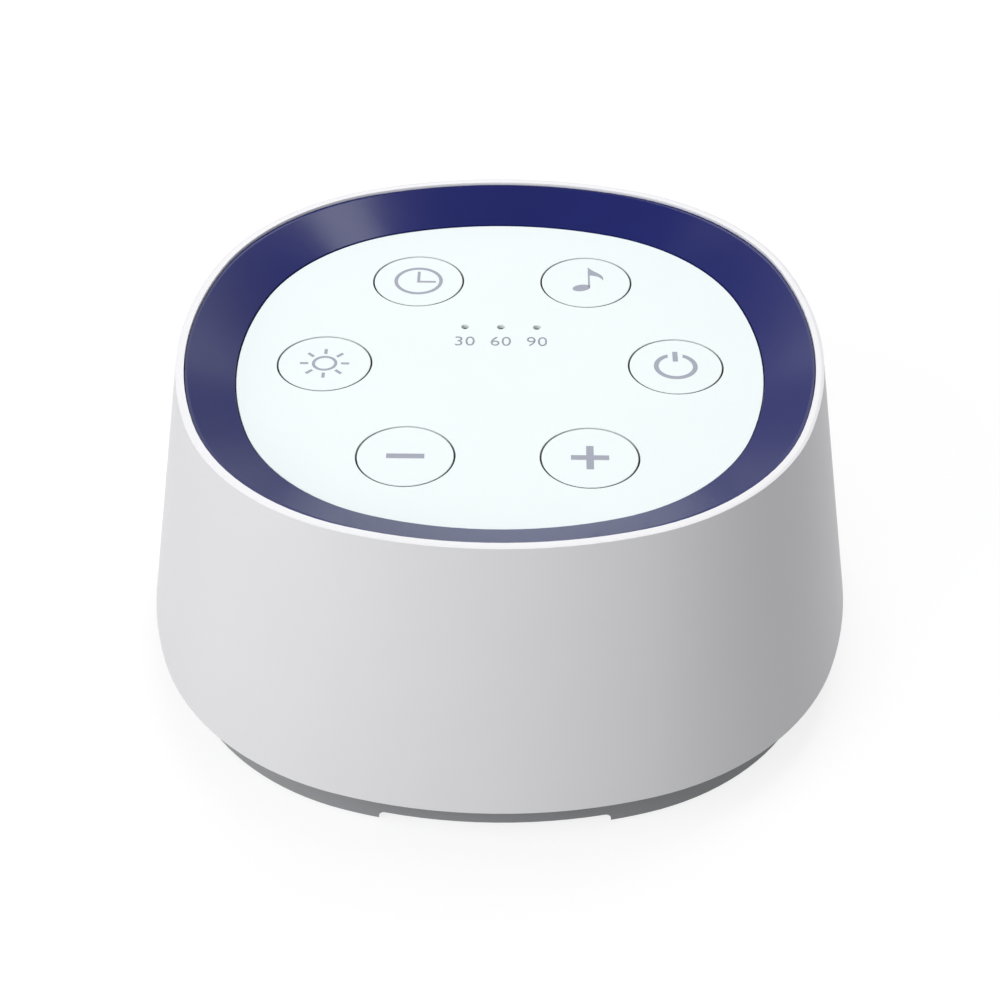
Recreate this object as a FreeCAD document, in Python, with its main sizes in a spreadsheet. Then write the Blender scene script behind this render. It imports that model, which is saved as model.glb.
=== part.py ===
"""White noise sound machine, in millimetres.

A tapered, square-round housing stands on a grey base. Its top is a shallow dish: a dark
sloping ring around a flush control panel with six push-buttons and three timer lights.
The loudspeaker faces down through the base and the sound leaves under the four arches.

The origin is the middle of the underside of the rubber feet. Z is up, the front faces -Y.
"""
import FreeCAD
import Part
import Sketcher
import math
import operator
import os
from types import SimpleNamespace

V = FreeCAD.Vector
UP = V(0, 0, 1)
SIDES = 4
ROUND = 24  # facets of a hidden round part
BUTTONS = ("power", "sound", "timer", "light", "volume_down", "volume_up")  # anticlockwise from +X

# Every size that can be set by itself: its name, its value and what it is.
SIZES = (
    ("side_bow", "1.393", "radius of a bowed side, over the half width of its outline"),
    ("corner_round", "0.775", "radius of a rounded corner, over the half width of its outline"),
    ("body_half", "58.0", "half width of the housing at its lower edge"),
    ("rim_half", "51.1", "half width of the housing at its rim"),
    ("housing_height", "46.2", "lower edge of the housing to its rim"),
    ("housing_wall", "2.3", "wall of the housing"),
    ("rim_land", "1.35", "flat top of the rim"),
    ("rim_bevel", "0.5", "broken outer edge of the rim"),
    ("deck_thickness", "2.0", "shelf in the housing that carries the ring and the panel"),
    ("deck_ledge", "2.0", "how far the shelf reaches in past the ring"),
    ("dish_half", "42.0", "half width of the ring's inner edge"),
    ("dish_depth", "4.0", "rim down to the face of the control panel"),
    ("ring_gap", "0.15", "clearance between the ring and the housing"),
    ("ring_land", "0.35", "flat outer edge of the ring"),
    ("ring_step", "0.4", "rim down to the ring's outer edge"),
    ("ring_lip", "0.2", "ring's inner edge above the face of the panel"),
    ("panel_gap", "0.2", "clearance between the panel and the ring"),
    ("panel_thickness", "2.0", "control panel"),
    ("pad_proud", "0.5", "rubber foot below the base"),
    ("foot_height", "1.35", "corner of the base below the edge of an arch"),
    ("skirt_drop", "6.05", "edge of an arch up to the lower edge of the housing"),
    ("base_setback", "4.0", "skirt of the base behind the lower edge of the housing"),
    ("skirt_wall", "2.0", "wall of the skirt"),
    ("seam_gap", "0.2", "lower edge of the housing up to the base plate"),
    ("plate_gap", "0.8", "clearance around the base plate, at the mouth of the housing"),
    ("plate_thickness", "2.2", "base plate"),
    ("arch_half", "18.0", "half width of an arch in the skirt"),
    ("arch_corner", "1.0", "rounding in the corners of an arch"),
    ("post_reach", "48.0", "screw posts from the centre, along a diagonal"),
    ("post_radius", "3.6", "screw post of the housing"),
    ("post_rib", "1.2", "rib that ties a screw post to the wall"),
    ("post_rib_height", "22.0", "length of that rib, down from the shelf"),
    ("pilot_depth", "14.0", "pilot hole in a screw post"),
    ("screw_radius", "1.3", "shank of a base screw"),
    ("screw_length", "16.0", "shank of a base screw below its head"),
    ("screw_fit", "0.05", "pilot hole around the screw's core"),
    ("screw_gap", "0.3", "clearance hole around a screw, and counterbore around its head"),
    ("screw_head_radius", "2.6", "head of a base screw"),
    ("screw_head_height", "1.8", "head of a base screw"),
    ("screw_seat", "5.3", "plastic between a screw's head and the top of the base plate"),
    ("chamber_corner", "41.5", "sound chamber from the centre, along a diagonal"),
    ("pad_radius", "5.5", "rubber foot"),
    ("pad_thickness", "1.5", "rubber foot"),
    ("pad_gap", "0.2", "recess around a rubber foot"),
    ("grille_radius", "23.0", "circle that the grille's slots reach"),
    ("slot_width", "2.2", "slot of the grille"),
    ("slot_pitch", "4.8", "spacing of the slots"),
    ("button_ring", "28.0", "centre of the panel to the centre of a button"),
    ("button_radius", "7.35", "button cap"),
    ("button_gap", "0.3", "clearance around a button cap"),
    ("button_depth", "3.2", "thickness of a button cap"),
    ("ear_reach", "1.3", "retaining ear of a button past its hole"),
    ("ear_width", "3.0", "retaining ear"),
    ("stem_width", "4.4", "cross-shaped stem under a button"),
    ("stem_web", "1.2", "web of that stem"),
    ("switch_length", "6.0", "tactile switch"),
    ("switch_width", "3.6", "tactile switch"),
    ("switch_height", "2.5", "tactile switch without its plunger"),
    ("plunger_length", "2.6", "switch plunger"),
    ("plunger_width", "1.3", "switch plunger"),
    ("plunger_proud", "1.8", "switch plunger above its switch"),
    ("plunger_sunk", "0.6", "switch plunger inside its switch"),
    ("plunger_gap", "0.15", "clearance around a switch plunger"),
    ("plunger_room", "0.45", "room under a plunger, a little more than its travel"),
    ("board_drop", "9.0", "underside of the panel down to the control board"),
    ("board_thickness", "1.6", "circuit boards"),
    ("board_gap", "2.0", "edge of the control board to the edge of the shelf"),
    ("hook_gap", "0.3", "clearance between a snap hook and what it slides past"),
    ("hook_wall", "1.4", "arm of a snap hook"),
    ("hook_barb", "1.0", "catch of a snap hook"),
    ("hook_nose", "1.4", "height of a hook's nose"),
    ("hook_width", "6.0", "width of a snap hook"),
    ("dot_pitch", "5.85", "spacing of the timer lights"),
    ("dot_row", "10.7", "centre of the panel to the row of timer lights"),
    ("dot_radius", "0.65", "hole of a timer light"),
    ("dot_recess", "0.6", "tip of the light guide below the face of the panel"),
    ("peg_gap", "0.1", "clearance around a peg of the light guide"),
    ("guide_height", "1.5", "bar of the light guide"),
    ("guide_width", "3.0", "bar of the light guide"),
    ("guide_end", "2.0", "bar of the light guide past its outer pegs"),
    ("guide_gap", "0.3", "light guide above a timer light"),
    ("timer_led_length", "1.6", "timer light on the board"),
    ("timer_led_width", "0.8", "timer light on the board"),
    ("timer_led_height", "0.6", "timer light on the board"),
    ("lamp_reach", "20.0", "night light from the centre, along a diagonal"),
    ("lamp_length", "3.5", "night light on the board"),
    ("lamp_width", "2.8", "night light on the board"),
    ("lamp_height", "1.2", "night light on the board"),
    ("speaker_half", "28.4", "half width of the loudspeaker's eight-sided flange"),
    ("flange_width", "3.2", "flange of the basket"),
    ("flange_thickness", "1.0", "sheet of the basket"),
    ("basket_depth", "10.2", "front of the flange back to the magnet"),
    ("basket_back", "22.0", "half width of the basket's flat back"),
    ("leg_width", "10.0", "leg of the basket"),
    ("seat_height", "1.0", "raised seat of the base under the loudspeaker"),
    ("seat_width", "2.2", "raised seat of the base under the loudspeaker"),
    ("membrane", "0.5", "soft surround, which also seals the loudspeaker to its seat"),
    ("cone_radius", "23.6", "paper cone"),
    ("cone_lap", "1.2", "cone glued over the surround"),
    ("cone_depth", "7.4", "rim of the cone to its neck"),
    ("coil_sunk", "0.7", "voice coil inside the neck of the cone"),
    ("coil_radius", "7.4", "voice coil, outside"),
    ("coil_wall", "0.5", "voice coil"),
    ("coil_gap", "0.4", "air gap on each side of the voice coil"),
    ("glue_gap", "0.05", "glue line between round parts of the loudspeaker"),
    ("coil_height", "9.2", "voice coil, end to end"),
    ("cap_thickness", "0.8", "dust cap"),
    ("top_plate", "3.0", "steel plate between the basket and the magnet"),
    ("magnet_radius", "16.0", "ring magnet"),
    ("magnet_height", "7.0", "ring magnet"),
    ("magnet_clear", "2.0", "hole of the magnet outside the air gap"),
    ("steel_inset", "1.5", "steel plates inside the edge of the magnet"),
    ("yoke_plate", "3.0", "back plate of the yoke"),
    ("clip_gap", "0.3", "clip of the base beside the loudspeaker's flange"),
    ("clip_wall", "1.4", "clip of the base"),
    ("clip_barb", "0.9", "clip of the base over the flange"),
    ("clip_nose", "2.0", "height of a clip's nose"),
    ("clip_width", "8.0", "clip of the base"),
    ("inlet_height", "9.0", "centre of the power inlet above the lower edge of the housing"),
    ("inlet_depth", "4.4", "recess in front of the power socket"),
    ("inlet_length", "13.0", "recess around the plug"),
    ("inlet_width", "7.4", "recess around the plug"),
    ("inlet_corner", "2.0", "corners of that recess"),
    ("inlet_wall", "1.6", "plastic around and behind the recess"),
    ("socket_length", "9.0", "power socket, across"),
    ("socket_width", "3.3", "power socket, high"),
    ("socket_depth", "7.4", "power socket, front to back"),
    ("socket_shell", "0.35", "sheet of the socket's shell"),
    ("socket_gap", "0.2", "window in the housing around the socket"),
    ("tongue_length", "6.6", "tongue in the socket"),
    ("tongue_width", "0.7", "tongue in the socket"),
    ("tongue_setback", "0.9", "tongue behind the socket's mouth"),
    ("inlet_board_length", "16.0", "inlet board, across"),
    ("inlet_board_width", "14.0", "inlet board, front to back"),
    ("inlet_post", "4.0", "post under the inlet board"),
    ("inlet_pin", "2.0", "pin of that post through the board"),
    ("inlet_pin_gap", "0.1", "hole around that pin"),
    ("chip_length", "9.9", "sound chip"),
    ("chip_width", "6.0", "sound chip"),
    ("chip_height", "1.6", "sound chip and amplifier chip"),
    ("chip_row", "5.0", "chips in front of the centre of the board"),
    ("amplifier_length", "5.0", "amplifier chip"),
    ("amplifier_reach", "11.0", "amplifier chip beside the sound chip"),
    ("amplifier_width", "4.0", "amplifier chip"),
    ("capacitor_radius", "3.0", "smoothing capacitor"),
    ("capacitor_height", "5.5", "smoothing capacitor"),
    ("connector_length", "7.8", "two-way connector"),
    ("connector_width", "4.6", "two-way connector"),
    ("connector_height", "5.0", "two-way connector"),
    ("connector_reach", "26.0", "connectors from the centre of the board"),
    ("lead_width", "2.6", "flat two-core lead"),
    ("lead_thickness", "1.3", "flat two-core lead"),
    ("lead_exit", "3.6", "straight run of the loudspeaker's lead at each end"),
    ("lead_slack", "2.3", "bulge of the loudspeaker's lead"),
    ("power_exit", "5.5", "straight run of the power lead at each end"),
    ("terminal_length", "8.0", "terminal strip on the basket"),
    ("terminal_width", "1.6", "terminal strip on the basket"),
    ("terminal_height", "4.0", "terminal strip on the basket"),
)


class Size:
    """A length as a number and as the sheet's formula for it."""

    def __init__(self, formula, number):
        self.formula = formula
        self.number = number

    def __add__(self, other):
        return combined(self, "+", other)

    def __sub__(self, other):
        return combined(self, "-", other)

    def __mul__(self, other):
        return combined(self, "*", other)

    def __truediv__(self, other):
        return combined(self, "/", other)

    def __neg__(self):
        return combined(fixed(0), "-", self)


def fixed(number):
    """A number that belongs to no cell, such as zero."""
    return Size(str(number), float(number))


def combined(first, sign, second):
    """Two lengths joined by one sign of arithmetic."""
    if not isinstance(second, Size):
        second = fixed(second)
    signs = {"+": operator.add, "-": operator.sub, "*": operator.mul, "/": operator.truediv}
    number = signs[sign](first.number, second.number)
    return Size(f"({first.formula} {sign} {second.formula})", number)


DOC = FreeCAD.newDocument("SoundMachine")


def filled_sheet():
    """The sheet of driving sizes, and the sizes by name."""
    sheet = DOC.addObject("Spreadsheet::Sheet", "Sizes")
    known = {}
    for row, (name, text, meaning) in enumerate(SIZES, start=1):
        sheet.set(f"A{row}", meaning)
        sheet.set(f"B{row}", text)
        sheet.setAlias(f"B{row}", name)
        known[name] = Size(f"Sizes.{name}", float(text))
    return SimpleNamespace(**known)


size = filled_sheet()
ZERO = fixed(0)

# Heights above the table
foot_level = size.pad_proud
arch_level = foot_level + size.foot_height
housing_foot = arch_level + size.skirt_drop
rim_top = housing_foot + size.housing_height
bevel_level = rim_top - size.rim_bevel
plate_bottom = housing_foot + size.seam_gap
plate_top = plate_bottom + size.plate_thickness
panel_top = rim_top - size.dish_depth
deck_top = panel_top - size.panel_thickness
deck_bottom = deck_top - size.deck_thickness
ring_top = rim_top - size.ring_step
lip_top = panel_top + size.ring_lip
board_top = deck_top - size.board_drop
board_bottom = board_top - size.board_thickness
switch_top = board_top + size.switch_height
plunger_top = switch_top + size.plunger_proud
cap_bottom = panel_top - size.button_depth
screw_seat_level = plate_top - size.screw_seat
surround_level = plate_top + size.seat_height
flange_level = surround_level + size.membrane
flange_top = flange_level + size.flange_thickness
basket_top = flange_level + size.basket_depth
magnet_bottom = basket_top + size.top_plate
magnet_top = magnet_bottom + size.magnet_height
inlet_level = housing_foot + size.inlet_height
inlet_board_top = inlet_level - size.socket_width / 2
inlet_board_bottom = inlet_board_top - size.board_thickness

# Half widths of the outlines
taper = (size.body_half - size.rim_half) / (bevel_level - housing_foot)
base_half = size.body_half - size.base_setback
recess_half = size.rim_half - size.rim_land
ring_half = recess_half - size.ring_gap
deck_opening = size.dish_half - size.deck_ledge
panel_half = size.dish_half - size.panel_gap
board_half = deck_opening - size.board_gap


def root(length):
    """Square root of a size."""
    return Size(f"sqrt({length.formula})", math.sqrt(length.number))


# How far the square-round outline reaches along a diagonal, over its half width
bow_reach = size.side_bow - size.corner_round
bow_setback = size.side_bow - 1
corner_middle = (root(bow_reach * bow_reach * 2 - bow_setback * bow_setback) - bow_setback) / 2
diagonal_share = corner_middle * math.sqrt(2) + size.corner_round
board_edge = board_half * diagonal_share

# Round parts of the loudspeaker
mouth = size.speaker_half - size.flange_width
lap_inside = size.cone_radius - size.cone_lap
neck_level = flange_level + size.cone_depth
coil_inside = size.coil_radius - size.coil_wall
pole_radius = coil_inside - size.coil_gap
gap_outside = size.coil_radius + size.coil_gap
steel_radius = size.magnet_radius - size.steel_inset

# Power inlet in the back wall
inlet_floor = size.body_half - taper * size.inlet_height - size.inlet_depth
inlet_inside = inlet_floor - size.inlet_wall
inlet_board_end = inlet_inside - size.hook_gap
inlet_board_middle = inlet_board_end - size.inlet_board_width / 2
inlet_post_row = inlet_board_end - size.inlet_board_width + size.inlet_post


def new_body(label):
    """An empty body of its own name."""
    body = DOC.addObject("PartDesign::Body", label)
    body.Label = label
    return body


def origin_part(body, role):
    """A plane or an axis of a body's own origin."""
    return next(item for item in body.Origin.OriginFeatures if item.Role == role)


def new_sketch(body, name, level=None, role="XY_Plane", turn=0):
    """A sketch on one of the body's origin planes, moved along its normal and turned about Z."""
    sketch = body.newObject("Sketcher::SketchObject", f"{body.Name}_{name}")
    sketch.AttachmentSupport = [(origin_part(body, role), "")]
    sketch.MapMode = "FlatFace"
    upright = UP if role == "XY_Plane" else V(0, 1, 0)
    sketch.AttachmentOffset = FreeCAD.Placement(V(0, 0, 0), FreeCAD.Rotation(upright, turn))
    if level is not None:
        sketch.setExpression("AttachmentOffset.Base.z", level.formula)
    return sketch


def dimension(sketch, kind, places, length):
    """A driving dimension that follows its formula."""
    index = sketch.addConstraint(Sketcher.Constraint(kind, *places, length.number))
    sketch.setExpression(f"Constraints[{index}]", length.formula)


def tie(sketch, kind, *places):
    """A constraint without a dimension."""
    sketch.addConstraint(Sketcher.Constraint(kind, *places))


def place_point(sketch, geometry, point, across, along):
    """Puts a point of the sketch at its two distances from the origin."""
    for kind, axis, length in (("DistanceX", -2, across), ("DistanceY", -1, along)):
        if length is ZERO:
            tie(sketch, "PointOnObject", geometry, point, axis)
        else:
            dimension(sketch, kind, (-1, 1, geometry, point), length)


def outline(sketch, half, inset=None):
    """The square-round outline: four bowed sides and four corners, all tangent arcs."""
    inset = inset or ZERO
    side_radius = half * size.side_bow - inset
    corner_radius = half * size.corner_round - inset
    setback = half * size.side_bow - half
    behind = setback.number
    reach = side_radius.number - corner_radius.number
    corner = (math.sqrt(2 * reach ** 2 - behind ** 2) - behind) / 2
    join = math.atan2(corner, corner + behind)
    first = sketch.GeometryCount
    for side in range(SIDES):
        facing = side * math.pi / 2
        middle = V(-behind * math.cos(facing), -behind * math.sin(facing), 0)
        bowed = Part.Circle(middle, UP, side_radius.number)
        sketch.addGeometry(Part.ArcOfCircle(bowed, facing - join, facing + join))
        turned = FreeCAD.Rotation(UP, math.degrees(facing)).multVec(V(corner, corner, 0))
        rounded = Part.Circle(turned, UP, corner_radius.number)
        sketch.addGeometry(Part.ArcOfCircle(rounded, facing + join, facing + math.pi / 2 - join))
    for side in range(SIDES):
        bow = first + 2 * side
        following = first + (2 * side + 2) % (2 * SIDES)
        tie(sketch, "Tangent", bow, 2, bow + 1, 1)
        tie(sketch, "Tangent", bow + 1, 2, following, 1)
        if side > 0:
            tie(sketch, "Equal", first, bow)
            tie(sketch, "Equal", first + 1, bow + 1)
        tie(sketch, "PointOnObject", bow, 3, -1 if side % 2 == 0 else -2)
        ends = (bow, 3, -1, 1) if side < 2 else (-1, 1, bow, 3)
        dimension(sketch, "DistanceX" if side % 2 == 0 else "DistanceY", ends, setback)
    dimension(sketch, "Radius", (first,), side_radius)
    dimension(sketch, "Radius", (first + 1,), corner_radius)


def polygon(sketch, corners):
    """Straight lines through corners that are each placed from the origin."""
    first = sketch.GeometryCount
    points = [V(across.number, along.number, 0) for across, along in corners]
    for index, point in enumerate(points):
        sketch.addGeometry(Part.LineSegment(point, points[(index + 1) % len(points)]))
    for index, (across, along) in enumerate(corners):
        following = first + (index + 1) % len(corners)
        tie(sketch, "Coincident", first + index, 2, following, 1)
        place_point(sketch, first + index, 1, across, along)


def octagon(sketch, half, corner):
    """Eight sides: four at a half width and four at a distance along the diagonals."""
    short = corner * math.sqrt(2) - half
    quarter = ((half, short), (short, half))
    polygon(sketch, quarter + tuple((-x, y) for x, y in reversed(quarter))
            + tuple((-x, -y) for x, y in quarter) + tuple((x, -y) for x, y in reversed(quarter)))


def facetted(sketch, across, along, radius, count):
    """A regular polygon around a centre, for small and hidden round parts."""
    turns = [math.tau * (index + 0.5) / count for index in range(count)]
    polygon(sketch, tuple((across + radius * math.cos(turn), along + radius * math.sin(turn))
                          for turn in turns))


def rectangle(sketch, across, along, length, width):
    """A rectangle around a centre."""
    left, right = across - length / 2, across + length / 2
    low, high = along - width / 2, along + width / 2
    polygon(sketch, ((left, low), (right, low), (right, high), (left, high)))


def circle(sketch, across, along, radius):
    """A circle around a centre."""
    centre = V(across.number, along.number, 0)
    index = sketch.addGeometry(Part.Circle(centre, UP, radius.number))
    dimension(sketch, "Radius", (index,), radius)
    place_point(sketch, index, 3, across, along)


def slot(sketch, across, along, length, width):
    """A long hole with round ends, lying across the sketch."""
    radius = width / 2
    left, right = across - length / 2 + radius, across + length / 2 - radius
    low, high = along - radius, along + radius
    first = sketch.GeometryCount
    ends = Part.Circle(V(right.number, along.number, 0), UP, radius.number)
    sketch.addGeometry(Part.ArcOfCircle(ends, -math.pi / 2, math.pi / 2))
    sketch.addGeometry(Part.LineSegment(V(right.number, high.number, 0), V(left.number, high.number, 0)))
    ends = Part.Circle(V(left.number, along.number, 0), UP, radius.number)
    sketch.addGeometry(Part.ArcOfCircle(ends, math.pi / 2, 3 * math.pi / 2))
    sketch.addGeometry(Part.LineSegment(V(left.number, low.number, 0), V(right.number, low.number, 0)))
    for index in range(SIDES):
        tie(sketch, "Tangent", first + index, 2, first + (index + 1) % SIDES, 1)
    dimension(sketch, "Radius", (first,), radius)
    place_point(sketch, first, 3, right, along)
    place_point(sketch, first + 2, 3, left, along)


def rounded_rectangle(sketch, across, along, length, width, radius):
    """A rectangle around a centre, with round corners."""
    reach, rise = length / 2 - radius, width / 2 - radius
    first = sketch.GeometryCount
    quarters = ((1, 1), (-1, 1), (-1, -1), (1, -1))
    centres = [(across + reach * east, along + rise * north) for east, north in quarters]
    for quarter, (x, y) in enumerate(centres):
        bend = Part.Circle(V(x.number, y.number, 0), UP, radius.number)
        start = quarter * math.pi / 2
        sketch.addGeometry(Part.ArcOfCircle(bend, start, start + math.pi / 2))
    for quarter in range(SIDES):
        ending = sketch.Geometry[first + quarter].EndPoint
        starting = sketch.Geometry[first + (quarter + 1) % SIDES].StartPoint
        sketch.addGeometry(Part.LineSegment(ending, starting))
    for quarter, (x, y) in enumerate(centres):
        run = first + SIDES + quarter
        tie(sketch, "Tangent", first + quarter, 2, run, 1)
        tie(sketch, "Tangent", run, 2, first + (quarter + 1) % SIDES, 1)
        place_point(sketch, first + quarter, 3, x, y)
    dimension(sketch, "Radius", (first,), radius)


def sized_feature(body, kind, sketch, length, upward):
    """A pad or a pocket of one length from its sketch."""
    feature = body.newObject(f"PartDesign::{kind}", f"{sketch.Name}_{kind.lower()}")
    feature.Profile = sketch
    feature.setExpression("Length", length.formula)
    feature.Reversed = upward == (kind == "Pocket")
    return feature


def pad(body, sketch, length, upward=True):
    """Adds the sketch's area over a length, along the sketch's normal or against it."""
    return sized_feature(body, "Pad", sketch, length, upward)


def pocket(body, sketch, length, upward=False):
    """Cuts the sketch's area over a length, against the sketch's normal or along it."""
    return sized_feature(body, "Pocket", sketch, length, upward)


def centred(feature):
    """Spreads a pad or a pocket to both sides of its sketch."""
    feature.SideType = "Symmetric"
    return feature


def loft(body, kind, lower, upper):
    """A straight-walled loft between two sketches."""
    feature = body.newObject(f"PartDesign::{kind}Loft", f"{lower.Name}_loft")
    feature.Profile = lower
    feature.Sections = [upper]
    feature.Ruled = True
    return feature


def tapered(body, kind, name, half, lower, upper):
    """A loft between evenly inset copies of one square-round outline, each given with its level."""
    sketches = []
    for end, (inset, level) in (("lower", lower), ("upper", upper)):
        sketch = new_sketch(body, f"{name}_{end}", level)
        outline(sketch, half, inset)
        sketches.append(sketch)
    return loft(body, kind, *sketches)


def round_pad(body, name, radii, low, high):
    """A facetted ring or disc between two levels."""
    sketch = new_sketch(body, name, low)
    for radius in radii:
        facetted(sketch, ZERO, ZERO, radius, ROUND)
    return pad(body, sketch, high - low)


def repeated(body, features, count=SIDES):
    """Repeats features around Z."""
    pattern = body.newObject("PartDesign::PolarPattern", f"{features[0].Name}_around")
    pattern.Originals = features
    pattern.Axis = (origin_part(body, "Z_Axis"), [""])
    pattern.Angle = 360
    pattern.Occurrences = count
    body.Tip = pattern
    return pattern


def facetted_cone(label, wide, narrow, low, high):
    """A facetted block that narrows upwards: a prism less one sloping cut, repeated around it."""
    body = new_body(label)
    round_pad(body, "prism", (wide / math.cos(math.pi / ROUND),), low, high)
    side = new_sketch(body, "side", role="XZ_Plane")
    polygon(side, ((wide, low), (wide * 1.1, low), (wide * 1.1, high), (narrow, high)))
    repeated(body, [centred(pocket(body, side, wide * 2))], ROUND)
    return body


def box(label, centre, extent):
    """A plain block, given by the middle of its underside and its three sizes."""
    block = DOC.addObject("Part::Box", label)
    block.Label = label
    for name, length in zip(("Length", "Width", "Height"), extent):
        block.setExpression(name, length.formula)
    corner = (centre[0] - extent[0] / 2, centre[1] - extent[1] / 2, centre[2])
    for axis, length in zip("xyz", corner):
        block.setExpression(f"Placement.Base.{axis}", length.formula)
    return block


def housing():
    """The tapered outer shell: its outside, less the core that it is moulded over."""
    outside = new_body("housing_outside")
    spread = size.body_half - size.rim_half
    tapered(outside, "Additive", "wall", size.rim_half, (-spread, housing_foot),
            (ZERO, bevel_level))
    tapered(outside, "Additive", "bevel", size.rim_half, (ZERO, bevel_level),
            (size.rim_bevel, rim_top))
    recess = new_sketch(outside, "recess", rim_top)
    outline(recess, recess_half)
    pocket(outside, recess, rim_top - deck_top)
    opening = new_sketch(outside, "opening", deck_top)
    octagon(opening, deck_opening, deck_opening * diagonal_share)
    pocket(outside, opening, size.deck_thickness)
    plug_recess = new_sketch(outside, "plug_recess", -inlet_floor, "XZ_Plane")
    rounded_rectangle(plug_recess, ZERO, inlet_level, size.inlet_length, size.inlet_width,
                      size.inlet_corner)
    pocket(outside, plug_recess, size.inlet_depth * 2)
    window = new_sketch(outside, "window", -inlet_inside, "XZ_Plane")
    slot(window, ZERO, inlet_level, size.socket_length + size.socket_gap * 2,
         size.socket_width + size.socket_gap * 2)
    pocket(outside, window, size.inlet_wall)
    pilot = new_sketch(outside, "pilot", plate_top, turn=45)
    facetted(pilot, size.post_reach, ZERO, size.screw_radius + size.screw_fit, 8)
    repeated(outside, [pocket(outside, pilot, size.pilot_depth, upward=True)])

    core = new_body("housing_core")
    tapered(core, "Additive", "cavity", size.rim_half, (size.housing_wall - spread, housing_foot),
            (size.housing_wall - taper * (bevel_level - deck_bottom), deck_bottom))
    inlet_block = new_sketch(core, "inlet_block", -inlet_inside, "XZ_Plane")
    rectangle(inlet_block, ZERO, inlet_level, size.inlet_length + size.inlet_wall * 2,
              size.inlet_width + size.inlet_wall * 2)
    pocket(core, inlet_block, size.inlet_depth * 2)
    post = new_sketch(core, "post", deck_bottom, turn=45)
    facetted(post, size.post_reach, ZERO, size.post_radius, 8)
    rib = new_sketch(core, "rib", deck_bottom, turn=45)
    rectangle(rib, size.post_reach * 1.5, ZERO, size.post_reach, size.post_rib)
    repeated(core, [pocket(core, post, deck_bottom - plate_top),
                    pocket(core, rib, size.post_rib_height)])

    shell = DOC.addObject("Part::Cut", "housing")
    shell.Label = "housing"
    shell.Base = outside
    shell.Tool = core
    return [shell]


def trim_ring():
    """The dark funnel between the rim of the housing and the panel, standing on the shelf."""
    body = new_body("trim_ring")
    block = new_sketch(body, "block", deck_top)
    outline(block, ring_half)
    outline(block, size.dish_half)
    pad(body, block, ring_top - deck_top)
    spread = ring_half - size.ring_land - size.dish_half
    tapered(body, "Subtractive", "funnel", size.dish_half, (ZERO, lip_top), (-spread, ring_top))
    return [body]


def control_panel():
    """The flat panel: six button holes, three light holes, and hooks for shelf and board."""
    body = new_body("control_panel")
    face = new_sketch(body, "face", deck_top)
    outline(face, panel_half)
    pad(body, face, size.panel_thickness)
    dots = new_sketch(body, "dots", panel_top)
    for across in (-size.dot_pitch, ZERO, size.dot_pitch):
        circle(dots, across, size.dot_row, size.dot_radius)
    pocket(body, dots, size.panel_thickness)
    hole = new_sketch(body, "hole", panel_top)
    circle(hole, size.button_ring, ZERO, size.button_radius + size.button_gap)
    repeated(body, [pocket(body, hole, size.panel_thickness)], len(BUTTONS))

    outer = deck_opening - size.hook_gap
    inner = outer - size.hook_wall
    nose = deck_bottom - size.hook_nose
    shelf_hook = new_sketch(body, "shelf_hook", role="XZ_Plane")
    polygon(shelf_hook, ((inner, deck_top), (outer, deck_top), (outer, deck_bottom),
                         (deck_opening + size.hook_barb, deck_bottom),
                         (inner + size.hook_wall / 2, nose), (inner, nose)))
    inner = board_edge + size.hook_gap
    outer = inner + size.hook_wall
    nose = board_bottom - size.hook_nose
    stop = board_edge - size.hook_wall
    board_hook = new_sketch(body, "board_hook", role="XZ_Plane", turn=45)
    polygon(board_hook, ((stop, deck_top), (stop, board_top), (inner, board_top),
                         (inner, board_bottom), (board_edge - size.hook_barb, board_bottom),
                         (inner + size.hook_wall / 2, nose), (outer, nose), (outer, deck_top)))
    repeated(body, [centred(pad(body, shelf_hook, size.hook_width)),
                    centred(pad(body, board_hook, size.hook_width))])
    return [body]


def at_button(body, index):
    """Turns what is drawn for the first button to a button's own place."""
    turn = FreeCAD.Rotation(UP, index * 360 / len(BUTTONS))
    body.Placement = FreeCAD.Placement(V(0, 0, 0), turn)
    return body


def button_caps():
    """Six round caps with retaining ears under the panel and a cross-shaped stem."""
    caps = []
    for index, name in enumerate(BUTTONS):
        body = new_body(f"{name}_button")
        disc = new_sketch(body, "disc", cap_bottom)
        circle(disc, size.button_ring, ZERO, size.button_radius)
        pad(body, disc, size.button_depth)
        ears = new_sketch(body, "ears", cap_bottom)
        span = (size.button_radius + size.button_gap + size.ear_reach) * 2
        rectangle(ears, size.button_ring, ZERO, size.ear_width, span)
        pad(body, ears, deck_top - cap_bottom)
        for web, (length, width) in enumerate(((size.stem_width, size.stem_web),
                                               (size.stem_web, size.stem_width))):
            stem = new_sketch(body, f"stem{web}", cap_bottom)
            rectangle(stem, size.button_ring, ZERO, length, width)
            pad(body, stem, cap_bottom - plunger_top, upward=False)
        caps.append(at_button(body, index))
    return caps


def switches():
    """Six switches on the board, each with a plunger of its own under a button's stem."""
    body = new_body("button_switches")
    case = new_sketch(body, "case", board_top)
    rectangle(case, size.button_ring, ZERO, size.switch_length, size.switch_width)
    well = new_sketch(body, "well", switch_top)
    rectangle(well, size.button_ring, ZERO, size.plunger_length + size.plunger_gap * 2,
              size.plunger_width + size.plunger_gap * 2)
    repeated(body, [pad(body, case, size.switch_height),
                    pocket(body, well, size.plunger_sunk + size.plunger_room)], len(BUTTONS))
    pieces = [body]
    for index, name in enumerate(BUTTONS):
        plunger = new_body(f"{name}_plunger")
        key = new_sketch(plunger, "key", switch_top - size.plunger_sunk)
        rectangle(key, size.button_ring, ZERO, size.plunger_length, size.plunger_width)
        pad(plunger, key, size.plunger_sunk + size.plunger_proud)
        pieces.append(at_button(plunger, index))
    return pieces


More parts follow.
